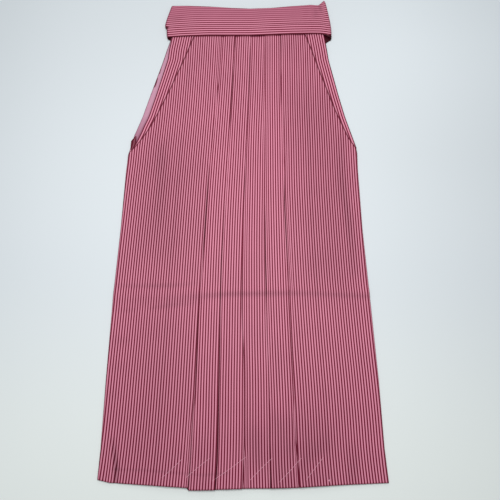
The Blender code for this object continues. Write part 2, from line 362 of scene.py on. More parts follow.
def bell(distance, width):
    """1 in the middle, sinking smoothly to both sides."""
    return np.exp(-((distance / width) ** 2))


def waist_lift(height):
    """The waist lies on the belt behind it, so the cloth rises there."""
    return WAIST_LIFT * ease((height - LIFT_START) / (LIFT_END - LIFT_START))


def layer_height(level, height):
    """Height of the middle of the thin cloth in a layer."""
    return level * LAYER + WALL - CLOTH / 2 + waist_lift(height)


print("four layers are", round(TOP_LEVEL * LAYER + WALL, 2), "mm high")

# %% [markdown]
# ## Edges and pleats
# Short tables hold the pattern of the garment: the five pleat edges, the side edges and the hem, with a row
# for each height where a line turns. Between rows the lines are straight, as pressed cloth is.

# %% The lines of the garment
PLEATS = np.array((
    (0, -91.5, -46.5, -1, 46.8, 94.3),
    (40, -89.4, -44, 0.9, 47.1, 94),
    (75, -88.6, -43.6, 1.7, 45.6, 90.8),
    (120, -87.6, -43.5, 1.7, 46.1, 90.3),
    (150, -85, -43.4, 1.5, 46.7, 89.7),
    (210, -83.9, -43.1, 0.9, 45.2, 88.3),
    (260, -84.2, -43.3, -2, 43, 87.2),
    (300, -83.8, -43.8, -3, 42.2, 86),
    (345, -81.2, -43.4, -2.9, 42.6, 85.7),
    (390, -78.5, -43, -2.8, 41.8, 84),
    (440, -76.7, -41.1, -1.9, 41.8, 82.3),
    (500, -74.5, -38.8, -0.8, 41.8, 80.8),
    (540, -73.1, -37.1, 0.5, 42, 81),
    (600, -71, -34.5, 2.5, 42.2, 82),
    (700, -63, -29.6, 6.6, 43.2, 81.6),
    (740, -59.8, -28.1, 7.9, 43.7, 79.2),
    (790, -55.8, -26.2, 9.5, 44.3, 78.7),
    (830, -54.2, -24.5, 10.5, 44.6, 80.6),
    (918, -52, -20.5, 12.6, 45.6, 80.8),
))
FRONT_EDGES = np.array((
    (0, -244.8, 245), (60, -243.6, 242), (170, -244.6, 241), (330, -244.3, 236), (455, -240.8, 231.6),
    (580, -239.6, 231), (620, -237.5, 231.9), (632, -226.5, 230.4), (655, -210.8, 217.1),
    (685, -194.8, 206), (715, -182.4, 195.1), (745, -170.9, 185.4), (775, -158.9, 176.9),
    (805, -148.9, 167.8), (835, -137.6, 159.2), (865, -127, 150.6), (890, -119.2, 142.8),
    (918, -109.5, 134),
))
STRIP_EDGES = np.array((
    (628, -231, 232.6), (645, -222.6, 228.2), (668, -213.7, 222), (682, -209.5, 218.3),
    (705, -201, 212.2), (760, -188, 200.7), (849, -168, 184.2), (873, -166, 181.6), (918, -160, 176.6),
))
BACK_EDGES = np.array((
    (612, -238.8, 232), (628, -237, 231.4), (660, -230.4, 222), (705, -215.6, 210.6),
    (760, -201.8, 199), (849, -178.4, 182.4), (900, -165.5, 177), (930, -162, 174),
))
print(len(PLEATS), "rows of pleat edges,", len(FRONT_EDGES), "rows of side edges")

# %% The hem, and how lines are read
HEM_BANDS = (
    ((-244.5, 11), (-223, 6.4), (-155, 2.6), (-93.3, -1)),
    ((-91.5, -5), (-48, -4.4)),
    ((-48, -4), (-1, -2.4)),
    ((-1, -2.2), (46.8, -2)),
    ((46.8, -1.8), (94.4, -0.8)),
    ((94.4, -0.5), (163, 3.2), (200, 4.4), (245, 6.2)),
)
HEM_FADE = 60.0


def line(table, heights, column):
    """A line of the pattern at some heights."""
    return np.interp(heights, table[:, 0], table[:, column])


def side_line(table, heights, side):
    """The left line of a table for side -1, and the right one for side 1."""
    return line(table, heights, 1 if side < 0 else 2)


def hem_height(band, x):
    """The hem of a band of the front, which is a little uneven."""
    return line(np.array(HEM_BANDS[band]), x, 1)


print("hem", FRONT_EDGES[0, 2] - FRONT_EDGES[0, 1], "mm wide")

# %% [markdown]
# ## How the stripes lean
# The garment is wider at the hem than at the waist, so in each band between two pleats the stripes lean by
# their own small angle, and near the hem they spread outwards. Adding up the lean from the hem upwards says
# how far a stripe has moved sideways at any height. Taking that off x gives the cloth's own coordinate.

# %% Lean of the stripes in each band
LEAN = np.array((
    (0, 4, 3, 2, -2, -3.2, -3.8),
    (50, 2.6, 1.2, 1, -0.8, -0.8, -1.8),
    (80, 2, 0.6, 0.6, 0, 0.4, -0.4),
    (140, 1.1, -0.2, -0.3, -0.2, -1.1, -1.7),
    (200, 1.3, 0.5, 0.5, -1, -1.8, -2.5),
    (270, 1.3, 0.6, 0.3, -0.3, -1.3, -2.1),
    (390, 1.7, 1.1, 1.1, 0, -0.7, -1.3),
    (450, 1.9, 1.4, 1.3, 0.8, -0.3, -0.6),
    (520, 2.1, 2.3, 2.1, 1.1, -0.3, -0.6),
    (580, 2.5, 2.5, 2.4, 1.1, 0.5, 0.5),
    (640, 2.8, 2.9, 2.1, 1.3, 0.3, 0.6),
    (700, 2.8, 2.9, 2.4, 2.3, 0.2, 0),
    (760, 1.7, 2.4, 2.5, 2.2, 0.3, 1.1),
    (820, 1.7, 2.1, 1.7, 1.4, 0.9, 0.8),
    (880, 1.4, 1.9, 1.8, 1.8, 0.6, -0.3),
))


def sideways(heights, band):
    """How far the stripes of a band have moved sideways between the hem and each height."""
    steps = np.arange(0.0, PANEL_TOP + 1.0)
    slope = np.tan(np.radians(line(LEAN, steps, band + 1)))
    moved = np.concatenate(((0.0,), np.cumsum((slope[1:] + slope[:-1]) / 2)))
    return np.interp(heights, steps, moved)


for band in range(6):
    print("band", band, "leans", round(float(sideways(PANEL_TOP, band)), 1), "mm over its height")

# %% [markdown]
# ## Rows of points
# A sheet of cloth is a grid of points: rows go up the garment, columns go across it. Rows stand close
# together where the cloth bends: at the hem, at the crease across it and at the waist.

# %% Heights of the rows
ROW_RUNS = (
    (0, 3, 0.75), (3, 18, 2.5), (18, 30, 1.7), (30, 60, 5), (60, 296, 7), (296, 360, 3.6),
    (360, 586, 8), (586, 662, 6), (662, 836, 8), (836, 884, 5), (884, 896, 4), (896, 918, 1.8),
)


def stations(runs, lowest=0.0):
    """Heights from runs of (start, end, step), each shared out evenly, above a lowest one."""
    heights = [runs[0][0]]
    for start, end, step in runs:
        count = max(1, round((end - start) / step))
        heights += list(np.linspace(start, end, count + 1)[1:])
    heights = np.array(heights)
    return np.concatenate(((lowest,), heights[heights > lowest])) if lowest else heights


ROWS = stations(ROW_RUNS)
print(len(ROWS), "rows up the front")

# %% [markdown]
# ## Creases
# Folding the garment away left a soft ridge across it, and handling left shallow valleys. Each is placed
# along a few points, with its width and height. They fade at their ends, so no two look alike. A point
# of the cloth rises or sinks by how near it is to each of them.

# %% Creases of the front
RIDGE = np.array((
    (-244, 324, 0.7, 16, 13), (-130, 327, 0.85, 14, 10), (-60, 331, 1.3, 9, 7),
    (-35, 332.5, 1.45, 8, 6), (40, 334, 1.5, 7, 6), (90, 334, 1.25, 7, 6), (130, 333.5, 1, 7, 6),
    (190, 330.5, 1.1, 8, 6), (244, 328.5, 1.3, 8, 6),
))
CREASES = (
    (((-174, 730), (-168, 600), (-166, 460)), 13, -0.25),
    (((201, 655), (196, 564), (211, 418), (210, 370)), 9, -0.42),
    (((-224, 72), (-218, 44), (-214, 28), (-213.7, -10)), 4.4, -1),
    (((-229, 60), (-226, 30), (-228, -10)), 6, 0.6),
    (((189, 62), (187, 28), (183.6, -10)), 11, -0.35),
    (((97, 22), (106, 41), (138, 60)), 8, -0.22),
    (((-240, 243), (-204, 240)), 7, -0.2),
    (((-240, 196), (-210, 192)), 7, -0.17),
    (((-242, 148), (-216, 145)), 6, -0.14),
    (((-40, 134), (10, 138), (60, 130)), 17, 0.6),
    (((-136, 720), (-160, 690), (-170, 650)), 9, 0.5),
    (((-120, 520), (-128, 470), (-126, 420)), 12, 0.4),
    (((110, 470), (118, 400), (115, 340)), 12, 0.45),
    (((180, 250), (196, 190), (190, 120)), 14, 0.5),
    (((-190, 330), (-182, 250), (-186, 170)), 13, 0.45),
    (((60, 250), (66, 190), (62, 150)), 8, -0.15),
    (((20, 700), (24, 600), (18, 520)), 8, 0.35),
    (((-244, 344), (-200, 342), (-130, 343), (-90, 347)), 4.5, -0.4),
    (((-244, 296), (-180, 299), (-130, 306), (-80, 310)), 4.5, -0.32),
)
print(len(CREASES), "creases and one ridge")

# %% Height of the creases
PULL = 4.0
END_STRENGTH = 0.35


def beside(points, x, y):
    """Distance to a line of points, and how far along it the nearest place is, from 0 to 1."""
    points = np.array(points, float)
    lengths = np.linalg.norm(np.diff(points, axis=0), axis=1)
    nearest = np.full(np.shape(x), np.inf)
    share = np.zeros(np.shape(x))
    walked = 0.0
    for (x0, y0), (x1, y1), length in zip(points, points[1:], lengths):
        along = ((x - x0) * (x1 - x0) + (y - y0) * (y1 - y0)) / length**2
        held = np.clip(along, 0.0, 1.0)
        distance = np.hypot(x - x0 - held * (x1 - x0), y - y0 - held * (y1 - y0))
        closer = distance < nearest
        nearest = np.where(closer, distance, nearest)
        share = np.where(closer, (walked + held * length) / lengths.sum(), share)
        walked += length
    return nearest, share


def crease_height(creases, x, y):
    """What all the creases together add to the height of the cloth."""
    total = np.zeros(np.shape(x))
    for points, width, height in creases:
        distance, share = beside(points, x, y)
        strength = END_STRENGTH + (1.0 - END_STRENGTH) * np.sin(math.pi * share)
        total += height * strength * bell(distance, width)
    return total


def ridge_height(x, y):
    """The storage ridge right across the front: steeper on its lower side."""
    middle, height, above, below = (line(RIDGE, x, part) for part in (1, 2, 3, 4))
    return height * bell(y - middle, np.where(y > middle, above, below))


def creased(grid, creases):
    """Raise and sink the grid by its creases, draw it towards them, and say how far it sinks."""
    x, y = grid[..., 0], grid[..., 1]
    height = crease_height(creases, x, y)
    ahead = crease_height(creases, x + 1.0, y)
    grid[..., 2] += height
    grid[..., 0] += PULL * (ahead - height)
    return np.clip(-height, 0.0, 1.0)


print("the ridge is", RIDGE[:, 2].max(), "mm high at most")

# %% [markdown]
# ## Sheets of cloth
# Every piece of cloth is made the same way. A grid of points at the middle of the cloth becomes a mesh, its
# own map is stored as UV, and a Solidify modifier gives it thickness. A vertex group makes the cloth thicker
# where the cloth is turned up and sewn, and thinner along a rounded edge. Then the sheet takes the place of
# its solid.

# %% Make a mesh from a grid of points
MARK_LIMIT = 1.4


def stacked(*parts):
    """The parts of many points put together, point by point."""
    return np.stack(np.broadcast_arrays(*parts), axis=-1)


def make_mesh(name, grid, cloth_map, marks, material):
    """A mesh from a grid of points, with the cloth's own map and numbers on its points."""
    rows, columns = grid.shape[:2]
    number = np.arange(rows * columns).reshape(rows, columns)
    faces = stacked(number[:-1, :-1], number[:-1, 1:], number[1:, 1:], number[1:, :-1])
    mesh = bpy.data.meshes.new(name)
    mesh.from_pydata(placed(grid).reshape(-1, 3).tolist(), [], faces.reshape(-1, 4).tolist())
    layer = mesh.uv_layers.new(name="cloth")
    corners = np.empty(len(mesh.loops), dtype=int)
    mesh.loops.foreach_get("vertex_index", corners)
    layer.data.foreach_set("uv", (cloth_map.reshape(-1, 2) * MM)[corners].ravel())
    for mark, values in marks.items():
        values = np.clip(np.broadcast_to(values, (rows, columns)), 0.0, MARK_LIMIT)
        mesh.attributes.new(mark, "FLOAT", "POINT").data.foreach_set("value", values.ravel())
    mesh.materials.append(material)
    mesh.update()
    return mesh


def new_piece(name, data):
    """A new object in the scene, selected alone."""
    piece = bpy.data.objects.new(name, data)
    bpy.context.collection.objects.link(piece)
    bpy.ops.object.select_all(action="DESELECT")
    piece.select_set(True)
    bpy.context.view_layer.objects.active = piece
    return piece


print("marks on a mesh go up to", MARK_LIMIT)


# %% Make a sheet and put it in place
def make_sheet(name, grid, cloth_map, material, thickness, weights=None, **marks):
    """A piece of cloth from its grid in millimetres, with its thickness."""
    mesh = make_mesh(name, grid, cloth_map, marks, material)
    piece = new_piece(name, mesh)
    solidify = piece.modifiers.new("Cloth thickness", "SOLIDIFY")
    solidify.thickness = thickness * MM
    solidify.offset = 0.0
    solidify.use_even_offset = True
    solidify.use_quality_normals = True
    if weights is not None:
        group = piece.vertex_groups.new(name="thickness")
        for index, weight in enumerate(np.broadcast_to(weights, grid.shape[:2]).ravel()):
            group.add((index,), float(weight), "REPLACE")
        solidify.vertex_group = group.name
    bpy.ops.object.modifier_apply(modifier=solidify.name)
    bpy.ops.object.shade_smooth()
    mesh.calc_loop_triangles()
    print(name, len(mesh.loop_triangles), "triangles")
    return piece


def cover(piece, node):
    """Put a sheet in the place of its solid: hang it on the root and hide the solid."""
    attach(piece, "root")
    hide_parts(node)


# %% [markdown]
# ## The pleated front
# The front is one cloth. Walking in from a side edge, it climbs to a pleat's edge, turns under, runs back
# for the pleat's depth, turns again and runs on below. Three pleats face right and two face left, so all of
# them face the middle. A class collects the columns of this walk, each with its x, its height and its place
# in the cloth at every row.

# %% Columns of a sheet
class Walk:
    """The columns of a sheet, in the order that the cloth is walked."""

    def __init__(self, heights):
        self.heights = heights
        self.columns = []

    def add(self, x, z, across, hem, pressed=0.0):
        """One column: x, height, place across the cloth, change of the hem, and its painted shade."""
        parts = [np.broadcast_to(part, self.heights.shape) for part in (x, z, across, hem, pressed)]
        self.columns.append(np.array(parts))

    def grids(self):
        """The points, the place of each in the cloth, and the painted shade on each."""
        x, z, across, hem, pressed = np.array(self.columns).transpose(1, 2, 0)
        up = self.heights[:, None]
        y = up + hem * np.clip(1.0 - up / HEM_FADE, 0.0, 1.0)
        return stacked(x, y, z), stacked(across, up), pressed.copy()


print("columns are collected in a walk")

# %% Depth and spring of the pleats
PLEAT_DEPTH_HEM, PLEAT_DEPTH_TOP = 22.0, 14.0
PLEAT_MARGIN = 2.0
HIDDEN_HEM = 2.0
FOLD_RADIUS = 0.29
UNDER_FOLD = 2.0 * FOLD_RADIUS + CLOTH + 0.08
BACK_FOLD = ((TOP_LEVEL - LOW_LEVEL) * LAYER - 2.0 * FOLD_RADIUS) / 2
SPRING_WIDTH = 12.0
SPRING_SCALE = 0.35
DEPTH = PLEAT_DEPTH_HEM + (PLEAT_DEPTH_TOP - PLEAT_DEPTH_HEM) * ROWS / PANEL_TOP
SPRING = np.array((
    (0, 0.5, 1.3, 0.2, 1.1, 0.9),
    (40, 0, 1.2, 0.1, 0.1, 0),
    (80, -0.2, 1.1, 0.1, -0.4, -0.4),
    (130, -0.2, 0.4, -0.1, -0.3, -0.4),
    (190, 0.7, 0.4, 0.1, -0.3, 0.2),
    (250, 0.6, 0.2, -0.2, -0.4, 0.2),
    (300, 0.3, 0.2, -0.1, -0.4, 0.1),
    (345, 0.1, 0, -0.1, 0.1, 0),
    (400, 0.1, -0.1, -0.1, 0.3, 0.4),
    (480, 0.3, -0.1, 0.1, 0.1, -0.4),
    (560, 0.1, 0, 0.1, 0, 0.3),
    (630, -0.3, -0.1, 0, -0.3, 0.7),
    (690, -0.4, 0.2, 0.1, 0.1, -0.2),
    (720, 0.4, 0.2, 0.1, 0.1, -0.1),
    (750, 0.4, 0.2, 0.2, -0.3, 0.3),
    (790, -0.2, 0.7, 0.9, -0.4, 0.2),
    (840, -0.4, -0.1, 0.3, -0.4, -0.4),
    (890, -0.2, 1, 0.3, -0.2, 0.3),
))
# Painted shade along each pleat's turn and where the next band comes out from under it, by height.
DARK = (
    ((0, 1.3), (20, 0.9), (100, 0.7), (120, 0.6), (150, 0.4), (200, 1.1), (285, 0.8), (310, 0), (335, 0.1),
     (350, 0.35), (390, 0.35), (440, 1.4), (515, 1.3), (565, 0.6), (600, 0), (730, 0), (765, 0.25), (800, 0)),
    ((0, 1.5), (110, 1.4), (150, 1.1), (240, 1), (290, 0.7), (330, 1.1), (390, 1), (430, 0.7), (465, 0.35),
     (515, 0), (670, 0), (700, 0.7), (765, 1), (805, 0.8), (825, 0.3), (865, 0), (885, 0.5), (905, 0.6)),
    ((0, 0.6), (40, 0.7), (75, 0.5), (180, 0.3), (235, 0.6), (285, 0.6), (367, 0.4), (415, 0), (475, 0.1),
     (515, 0.4), (550, 0.8), (590, 0.15), (650, 0), (690, 0), (740, 0.3), (785, 0.7), (850, 0.8), (891, 0.1)),
    ((0, 1.5), (32, 0.75), (60, 0.5), (110, 0.1), (250, 0.35), (300, 0.2), (345, 1.3), (465, 0.9), (515, 0.3),
     (565, 0.05), (650, 0), (750, 0.1), (800, 0)),
    ((0, 0.4), (15, 0), (50, 0), (75, 0.3), (120, 0.15), (180, 0.2), (220, 0.45), (250, 0.45), (290, 0.2),
     (322, 0.1), (367, 0.35), (400, 0.5), (440, 1.2), (520, 1.2), (575, 0), (615, 0), (660, 0.15),
     (740, 0.15), (765, 0.4), (790, 0.05), (860, 0.3), (891, 0.9)),
)
print("pleats are", PLEAT_DEPTH_HEM, "mm deep at the hem and", PLEAT_DEPTH_TOP, "at the waist")

# %% [markdown]
# Where a pleat's edge is only loosely pressed, several stripes crowd together on its turn and seem to melt
# into one dull band. Adding a little cloth there, measured in millimetres, crowds them in the map.

# %% Stripes crowded at the pleats' edges
CROWD_WIDTH = 8.0
CROWD_OVER = {
    0: ((95, 2.4), (150, 0), (740, 0), (790, 2.4)),
    3: ((95, 1), (150, 0.6), (220, 0.8), (330, 2.5), (345, 2.5), (430, 2), (520, 2), (620, 0.9), (740, 0.8),
        (790, 0.9), (918, 1.2)),
    4: ((220, 0), (330, 2), (345, 4), (430, 4), (520, 2), (620, 1.8), (740, 1)),
}
CROWD_UNDER = {
    2: ((0, 4), (40, 3), (65, 0.5), (105, 0), (140, 0), (420, 2), (600, 0.5), (918, 0)),
    4: ((0, 2), (40, 3), (65, 4), (105, 3), (140, 1), (420, 0)),
}


def crowd(table, pleat, distance):
    """Extra cloth at a distance from a pleat's edge, in millimetres."""
    points = np.array(table.get(pleat, ((0, 0.0),)))
    return line(points, ROWS, 1) * fading(distance, CROWD_WIDTH)


print("stripes crowd at", len(CROWD_OVER), "edges and under", len(CROWD_UNDER))

# %% Place of each band in the cloth
HALF_WAY_UP = 450.0
REFERENCE_ROW = int(np.argmin(np.abs(ROWS - HALF_WAY_UP)))
SHIFTS = [sideways(ROWS, band) for band in range(6)]
HIDDEN = math.pi * (FOLD_RADIUS + BACK_FOLD) + 2.0 * DEPTH
OFFSETS = [0.0]
for band in range(5):
    step = SHIFTS[band + 1][REFERENCE_ROW] - SHIFTS[band][REFERENCE_ROW]
    OFFSETS.append(OFFSETS[-1] + HIDDEN[REFERENCE_ROW] + step)


def pleat_edge(pleat):
    """x of a pleat's edge at every row."""
    return line(PLEATS, ROWS, pleat + 1)


def in_cloth(band, x):
    """The place across the cloth of a point of a band, which runs on through the pleats."""
    return x - SHIFTS[band] + OFFSETS[band]


print("each pleat hides", round(HIDDEN[REFERENCE_ROW], 1), "mm of cloth half way up")

# %% [markdown]
# The seam that joins two widths of cloth runs up each outer band, along the warp. It is a fine groove, so it
# is worked out from the place across the cloth and not from x.

# %% Seams between the widths
SEAM_WIDTH, SEAM_DEPTH, SEAM_SHADE = 2.6, 0.4, 0.16
SEAM_X = {0: -150.4, 5: 149.0}


def seam_groove(band, across):
    """How far the cloth sinks at a seam between two widths."""
    if band not in SEAM_X:
        return 0.0
    return -SEAM_DEPTH * bell(across - in_cloth(band, SEAM_X[band])[0], SEAM_WIDTH)


print("seams at", *SEAM_X.values(), "mm")

# %% Side edge and open bands
STRIP_TUCK = 12.0
EDGE_ROUND, EDGE_FLAT = 1.6, 1.6
EDGE_ANGLES = (0.0, 25.0, 50.0, 72.0, 90.0)
BAND_COLUMNS = (50, 9, 9, 16, 9, 50)
# Painted shade along the rounded side edges: a little below the openings, more beside them.
SIDE_PAINTED_SHADE, EDGE_PAINTED_SHADE = 0.3, 0.8
SIDE_DROP, EDGE_DROP = 1.55, 0.75
FLAT_TOP = layer_height(TOP_LEVEL, ROWS)


def at_opening(below, beside_it):
    """One value below the openings and another beside them, at every row."""
    return below + (beside_it - below) * ease((ROWS - RISE_START) / (OPENING_FOOT - RISE_START))


def add_open(walk, band, x, z, extra=0.0, pressed=0.0):
    """A column of the open part of a band, with a little extra cloth."""
    walk.add(x, z, in_cloth(band, x) + extra, hem_height(band, x), pressed)


def add_side_edge(walk, side, band, outer, height):
    """The rounded side edge, from its lowest point up to the flat cloth, with painted shade along it."""
    drop = at_opening(SIDE_DROP, EDGE_DROP)
    pressed = at_opening(SIDE_PAINTED_SHADE, EDGE_PAINTED_SHADE)
    for angle in EDGE_ANGLES:
        turn = math.radians(angle)
        x = outer - side * EDGE_ROUND * (1.0 - math.cos(turn))
        low = drop * (1.0 - math.sin(turn))
        add_open(walk, band, x, height - low, side * low, pressed)
    for inset, share in ((0.5, 0.9), (EDGE_FLAT, 0.0)):
        add_open(walk, band, outer - side * (EDGE_ROUND + inset), height, 0.0, pressed * share)


def add_band(walk, band, start, end, height):
    """The open part of a band, rising smoothly to the next pleat."""
    for share in np.linspace(0.0, 1.0, BAND_COLUMNS[band])[1:]:
        x = start + (end - start) * share
        z = height + (FLAT_TOP - height) * ease(share) + seam_groove(band, in_cloth(band, x))
        add_open(walk, band, x, z)


print("side edges are", EDGE_ROUND, "mm round")

# %% One pleat
FOLD_ANGLES = (60.0, 30.0, 0.0, -30.0, -60.0, -90.0)


def spring_of(pleat):
    """How far a pleat's edge stands up, and how much painted shade lies along its turn, at every row."""
    return line(SPRING, ROWS, pleat + 1) * SPRING_SCALE, line(np.array(DARK[pleat]), ROWS, 1)


def under_pleat(pleat):
    """Height of the next band where it comes out from under a pleat's edge."""
    return FLAT_TOP + np.minimum(spring_of(pleat)[0], 0.0) - UNDER_FOLD


def add_pleat(walk, band, pleat, inward):
    """Over a pleat's edge, back under it and on below."""
    edge = pleat_edge(pleat)
    # Painted shade on the turn of the fold and where the next band comes out from under it.
    spring, pressed = spring_of(pleat)
    reach = FOLD_RADIUS + CLOTH / 2
    turn_x = edge - inward * reach
    for share in (0.25, 0.5, 0.7, 0.86, 0.95, 1.0):
        x = turn_x - inward * (1.0 - share) * (DEPTH + PLEAT_MARGIN - reach)
        distance = np.abs(edge - x)
        z = FLAT_TOP + spring * fading(distance, SPRING_WIDTH)
        extra = inward * crowd(CROWD_OVER, pleat, distance)
        add_open(walk, band, x, z, extra, pressed * 0.6 * (share == 1.0))
    start = in_cloth(band, x) + extra
    ahead = edge + inward * PLEAT_MARGIN
    end = in_cloth(band + inward, ahead) - inward * crowd(CROWD_UNDER, pleat, PLEAT_MARGIN)
    hem = hem_height(band, edge)

    def add_hidden(x, z, walked, sink=HIDDEN_HEM, dark=0.0):
        """A point of the hidden cloth, this far from the top of the turn."""
        walk.add(x, z, start + (end - start) * walked / (HIDDEN + reach + PLEAT_MARGIN), hem + sink, dark)

    for angle in FOLD_ANGLES:
        turn = math.radians(angle)
        x = turn_x + inward * FOLD_RADIUS * math.cos(turn)
        z = FLAT_TOP + spring - FOLD_RADIUS * (1.0 - math.sin(turn))
        add_hidden(x, z, FOLD_RADIUS * math.radians(90.0 - angle), HIDDEN_HEM * (angle < 0.0) / 2, pressed)
    back_x = edge - inward * DEPTH
    run = np.abs(back_x - turn_x)
    below = FLAT_TOP - 2.0 * FOLD_RADIUS
    for share in (0.35, 0.7, 1.0):
        lift = spring * fading(run * share, SPRING_WIDTH)
        add_hidden(turn_x + (back_x - turn_x) * share, below + lift, math.pi * FOLD_RADIUS + run * share)
    for angle in FOLD_ANGLES:
        turn = math.radians(angle)
        walked = math.pi * FOLD_RADIUS + run + BACK_FOLD * math.radians(90.0 - angle)
        x = back_x - inward * BACK_FOLD * math.cos(turn)
        add_hidden(x, below - BACK_FOLD * (1.0 - math.sin(turn)), walked)
    low = below - 2.0 * BACK_FOLD
    next_hem = hem_height(band + inward, edge)
    for share, dark in ((0.3, 0.0), (0.6, 0.0), (0.88, 0.6), (0.94, 1.0), (1.0, 0.0)):
        x = back_x + (ahead - back_x) * share
        walked = math.pi * (FOLD_RADIUS + BACK_FOLD) + run + np.abs(x - back_x)
        sink = HIDDEN_HEM + (next_hem - hem - HIDDEN_HEM) * ease((share - 0.8) / 0.14)
        add_hidden(x, low + (under_pleat(pleat) - low) * ease(share / 0.9), walked, sink, dark * pressed)


print("a pleat turns in", 2 * len(FOLD_ANGLES), "steps")

# %% Walk both halves
MIDDLE_SAG = 0.4


def walk_half(side, upper_level, bands, pleats):
    """The front from one side edge inwards, through its pleats."""
    walk = Walk(ROWS)
    outer = side_line(FRONT_EDGES, ROWS, side)
    height = layer_height(at_opening(LOW_LEVEL, upper_level), ROWS)
    add_side_edge(walk, side, bands[0], outer, height)
    edge_end = outer - side * (EDGE_ROUND + EDGE_FLAT)
    start = outer - side * (STRIP_TUCK + PLEAT_MARGIN)
    for share in (0.35, 0.7, 1.0):
        add_open(walk, bands[0], edge_end + (start - edge_end) * share, height)
    for band, pleat in zip(bands, pleats):
        add_band(walk, band, start, pleat_edge(pleat) + side * (DEPTH + PLEAT_MARGIN), height)
        add_pleat(walk, band, pleat, -side)
        start, height = pleat_edge(pleat) - side * PLEAT_MARGIN, under_pleat(pleat)
    return walk


def add_middle_band(walk):
    """The middle band, from under the third pleat to under the fourth."""
    start = pleat_edge(2) + PLEAT_MARGIN
    end = pleat_edge(3) - PLEAT_MARGIN
    left, right = under_pleat(2), under_pleat(3)
    for share in np.linspace(0.0, 1.0, BAND_COLUMNS[3])[1:-1]:
        x = start + (end - start) * share
        extra = crowd(CROWD_UNDER, 3, np.abs(end - x)) - crowd(CROWD_UNDER, 2, np.abs(x - start))
        z = left + (right - left) * share - MIDDLE_SAG * math.sin(math.pi * share)
        add_open(walk, 3, x, z, extra)


FRONT_WALK = walk_half(-1, TOP_LEVEL, (0, 1, 2), (0, 1, 2))
add_middle_band(FRONT_WALK)
FRONT_WALK.columns += reversed(walk_half(1, TOP_LEVEL - 1, (5, 4), (4, 3)).columns)
front_grid, front_map, front_pressed = FRONT_WALK.grids()
print("front grid", front_grid.shape[0], "by", front_grid.shape[1])

# %% [markdown]
# The cloth isn't evenly light, and its shade is painted into its colour. Below the ridge it turns away from
# the window, the seams show as fine lines, and broad, soft painted shades lie where less light falls. Each
# shade has a line, a width, a strength and the bands it lies on.

# %% Shades and creases of the front
UNDER_BELT = np.array(((-172, 904), (-140, 906), (-80, 908), (12, 908), (60, 910), (110, 912.5), (168, 914)))
UNDER_BELT_PAINTED_SHADOW, UNDER_BELT_WIDTH, UNDER_BELT_FROM = 0.8, 4.0, 890.0
RIDGE_SHADE = 0.5
SHADES = (
    (((-160, 440), (-158, 585)), 85, 0.35, 0, 0),
    (((-110, 800), (-100, 900)), 50, 0.08, 0, 0),
    (((-155, 60), (-150, 250)), 70, 0.2, 0, 0),
    (((105, 860), (100, 905)), 26, 0.16, 5, 5),
    (((165, 390), (165, 560), (145, 720)), 70, 0.36, 5, 5),
    (((110, 20), (120, 90)), 42, 0.3, 5, 5),
    (((85, 58), (138, 66)), 12, 0.16, 4, 5),
    (((25, 50), (22, 75)), 28, 0.36, 3, 3),
    (((70, 10), (70, 85)), 36, 0.36, 4, 4),
    (((-68, 15), (-68, 45)), 30, 0.2, 1, 1),
    (((-220, 27.6), (-156, 25.5), (-127, 23.5), (-70, 18.8), (-24, 21.5)), 2.2, 0.28, 0, 2),
)


def ridge_shade(x, y):
    """The shade below the ridge, where the cloth turns away from the window."""
    middle, height, below = (line(RIDGE, x, part) for part in (1, 2, 4))
    return RIDGE_SHADE * (height - 0.5) * bell(y - middle + below, 0.9 * below)


def broad_shade(x, y):
    """How much darker each point of the front looks for the broad shades and the seams."""
    band = sum((x > line(PLEATS, y, pleat + 1)).astype(int) for pleat in range(5))
    total = np.zeros(x.shape)
    for points, width, amount, first, last in SHADES:
        total += amount * bell(beside(points, x, y)[0], width) * (band >= first) * (band <= last)
    for seam_band, seam_x in SEAM_X.items():
        seam = seam_x + np.interp(y, ROWS, SHIFTS[seam_band] - SHIFTS[seam_band][0])
        total += SEAM_SHADE * bell(x - seam, SEAM_WIDTH) * (band == seam_band)
    return total


def under_belt(x, y):
    """The painted shadow where the cloth goes in under the belt."""
    gap = line(UNDER_BELT, x, 1) - y
    return UNDER_BELT_PAINTED_SHADOW * fading(gap, UNDER_BELT_WIDTH) * (y > UNDER_BELT_FROM)


front_x, front_y = front_grid[..., 0].copy(), front_grid[..., 1].copy()
front_grid[..., 2] += ridge_height(front_x, front_y)
# Painted soft shade: below the ridge, the broad shades, the seams and the valleys of the creases.
front_painted_soft_shade = ridge_shade(front_x, front_y) + broad_shade(front_x, front_y) + creased(front_grid, CREASES)
# Painted shadow below the belt's lower edge.
front_pressed += under_belt(front_x, front_y)
print(len(SHADES), "shades, the darkest", round(float(front_painted_soft_shade.max()), 2))

# %% [markdown]
# The hem is turned up 16 mm, so the cloth is double there. Its lower edge is a fold, which the last rows
# round off by getting thinner.

# %% The front
HEM_TURN = 16.0
HEM_THICK = 0.5
HEM_EDGE, HEM_ROUND, HEM_STEP = 0.45, 1.5, 2.5
HEM_PAINTED_SHADE, HEM_PAINTED_SHADE_TO = 0.55, 3.0

front_weights = 1.0 + (CLOTH / HEM_THICK - 1.0) * ease((ROWS - HEM_TURN) / HEM_STEP)
front_weights *= HEM_EDGE + (1.0 - HEM_EDGE) * ease(ROWS / HEM_ROUND)
# Painted shade along the hem's folded lower edge.
front_pressed += HEM_PAINTED_SHADE * fading(ROWS, HEM_PAINTED_SHADE_TO)[:, None]
marks = {"pressed": front_pressed, "painted_soft_shade": front_painted_soft_shade}
weights = front_weights[:, None]
front = make_sheet("pleated_front", front_grid, front_map, STRIPED, HEM_THICK, weights, **marks)
cover(front, "front_panel")

# %% [markdown]
# ## The back
# The back lies flat on the table, and its edges show beside the openings. Its creases lift it here and
# there, but it never sinks below the table.

